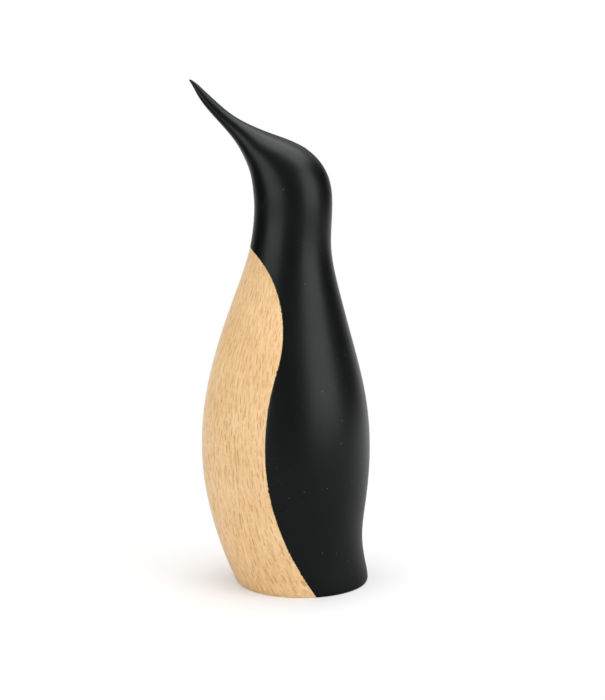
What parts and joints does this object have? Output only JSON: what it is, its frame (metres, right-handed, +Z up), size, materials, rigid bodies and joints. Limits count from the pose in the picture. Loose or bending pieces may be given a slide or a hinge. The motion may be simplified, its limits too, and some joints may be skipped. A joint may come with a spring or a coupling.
{
  "type": "penguin figurine",
  "caption": "Standing wooden penguin figurine with a smooth turned-up beak, a natural beech belly and a black lacquered back and head, glued up on dowels to stand on a flat foot.",
  "frame": {"origin": "middle of the flat foot, on the surface that the figurine stands on", "axes": "+Z up from the foot, -X towards the beak, Y across the figure, which is symmetric about Y = 0"},
  "size_m": [0.0771, 0.069, 0.2203],
  "materials": {
    "natural_beech": "fine-sanded and oiled beech with darker ray flecks, satin",
    "black_lacquer": "black satin lacquer over beech, grain filled",
    "dowel_beech": "plain fluted beech, unfinished"
  },
  "bodies": {
    "root": {"belly": "natural_beech", "back": "black_lacquer", "head": "black_lacquer", "neck_dowel": "dowel_beech", "upper_belly_dowel": "dowel_beech", "lower_belly_dowel": "dowel_beech"}
  },
  "joints": []
}
